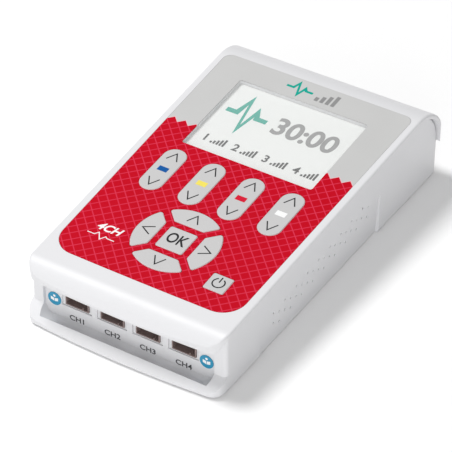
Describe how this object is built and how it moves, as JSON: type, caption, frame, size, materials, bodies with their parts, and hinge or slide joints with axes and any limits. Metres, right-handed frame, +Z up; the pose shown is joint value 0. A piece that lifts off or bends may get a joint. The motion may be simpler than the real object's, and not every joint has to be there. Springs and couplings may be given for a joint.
{
  "type": "tens unit",
  "caption": "Handheld nerve stimulator: sloped wrap-over cover, printed label with display window, rocker and ring keys, and lead sockets in a front recess",
  "frame": {"origin": "centre of the unit's length and width, at the level it rests on", "axes": "+X to the right when facing the sockets' side from above, +Y towards the display end, +Z up"},
  "size_m": [0.0854, 0.1534, 0.0352],
  "materials": {
    "shell_white": "satin moulded",
    "label_film": "printed film",
    "window_clear": "clear lens",
    "frame_black": "moulded",
    "lcd_glass": null,
    "backlight_white": "diffuser",
    "ribbon_amber": "polyimide film",
    "switch_black": "moulded",
    "board_green": "solder mask on laminate",
    "screw_steel": "zinc plated",
    "contact_brass": "plated",
    "ferrite_dark": null,
    "can_aluminium": "sleeved can",
    "chip_black": "moulded package",
    "cell_steel": "cell can",
    "wrap_film": "shrink film",
    "wire_red": "insulation",
    "wire_black": "insulation",
    "plug_white": "nylon",
    "key_grey": "moulded key, printed sign",
    "socket_brown": "moulded socket",
    "disc_blue": "printed disc"
  },
  "bodies": {
    "case": {"top_shell": "shell_white", "bottom_shell": "shell_white", "keypad_overlay": "label_film", "display_window": "window_clear", "display_frame": "frame_black", "lcd_panel": "lcd_glass", "lcd_backlight": "backlight_white", "display_ribbon": "ribbon_amber", "tactile_switches": "switch_black", "key_board": "board_green", "key_board_screws": "screw_steel", "main_board": "board_green", "main_board_screws": "screw_steel", "case_screws": "screw_steel", "socket_contacts": "contact_brass", "output_transformers": "ferrite_dark", "capacitors": "can_aluminium", "output_transistors": "chip_black", "microcontroller": "chip_black", "buzzer": "chip_black", "board_link": "switch_black", "battery_cells": "cell_steel", "battery_wrap": "wrap_film", "battery_lead": "wire_red", "battery_plug": "plug_white", "battery_header": "plug_white", "charge_socket": "switch_black", "charge_lead": "wire_black", "instruction_disc_left": "disc_blue", "instruction_disc_right": "disc_blue", "output_socket_1": "socket_brown", "output_socket_2": "socket_brown", "output_socket_3": "socket_brown", "output_socket_4": "socket_brown"},
    "channel_1_key": {"channel_1_key": "key_grey"},
    "channel_2_key": {"channel_2_key": "key_grey"},
    "channel_3_key": {"channel_3_key": "key_grey"},
    "channel_4_key": {"channel_4_key": "key_grey"},
    "ok_key": {"ok_key": "key_grey"},
    "up_key": {"up_key": "key_grey"},
    "left_key": {"left_key": "key_grey"},
    "down_key": {"down_key": "key_grey"},
    "right_key": {"right_key": "key_grey"},
    "power_key": {"power_key": "key_grey"},
    "battery_door": {"battery_door": "shell_white"}
  },
  "joints": [
    {"name": "channel_1_rock", "type": "hinge", "parent": "case", "child": "channel_1_key", "pos_m": [-0.02436, -0.00954, 0.02693], "axis": [1, 0, 0], "range_deg": [-1.5, 1.5], "stiffness_Nm_per_rad": 0.4},
    {"name": "channel_2_rock", "type": "hinge", "parent": "case", "child": "channel_2_key", "pos_m": [-0.00812, -0.00954, 0.02693], "axis": [1, 0, 0], "range_deg": [-1.5, 1.5], "stiffness_Nm_per_rad": 0.4},
    {"name": "channel_3_rock", "type": "hinge", "parent": "case", "child": "channel_3_key", "pos_m": [0.00812, -0.00954, 0.02693], "axis": [1, 0, 0], "range_deg": [-1.5, 1.5], "stiffness_Nm_per_rad": 0.4},
    {"name": "channel_4_rock", "type": "hinge", "parent": "case", "child": "channel_4_key", "pos_m": [0.02436, -0.00954, 0.02693], "axis": [1, 0, 0], "range_deg": [-1.5, 1.5], "stiffness_Nm_per_rad": 0.4},
    {"name": "ok_press", "type": "slide", "parent": "case", "child": "ok_key", "axis": [0, 0.0767, -0.9971], "range_m": [0, 0.00035], "stiffness_N_per_m": 3000},
    {"name": "up_press", "type": "slide", "parent": "case", "child": "up_key", "axis": [0, 0.0767, -0.9971], "range_m": [0, 0.00035], "stiffness_N_per_m": 3000},
    {"name": "left_press", "type": "slide", "parent": "case", "child": "left_key", "axis": [0, 0.0767, -0.9971], "range_m": [0, 0.00035], "stiffness_N_per_m": 3000},
    {"name": "down_press", "type": "slide", "parent": "case", "child": "down_key", "axis": [0, 0.0767, -0.9971], "range_m": [0, 0.00035], "stiffness_N_per_m": 3000},
    {"name": "right_press", "type": "slide", "parent": "case", "child": "right_key", "axis": [0, 0.0767, -0.9971], "range_m": [0, 0.00035], "stiffness_N_per_m": 3000},
    {"name": "power_press", "type": "slide", "parent": "case", "child": "power_key", "axis": [0, 0.0767, -0.9971], "range_m": [0, 0.00035], "stiffness_N_per_m": 3000},
    {"name": "battery_door_slide", "type": "slide", "parent": "case", "child": "battery_door", "axis": [0, 1, 0], "range_m": [0, 0.074]}
  ]
}
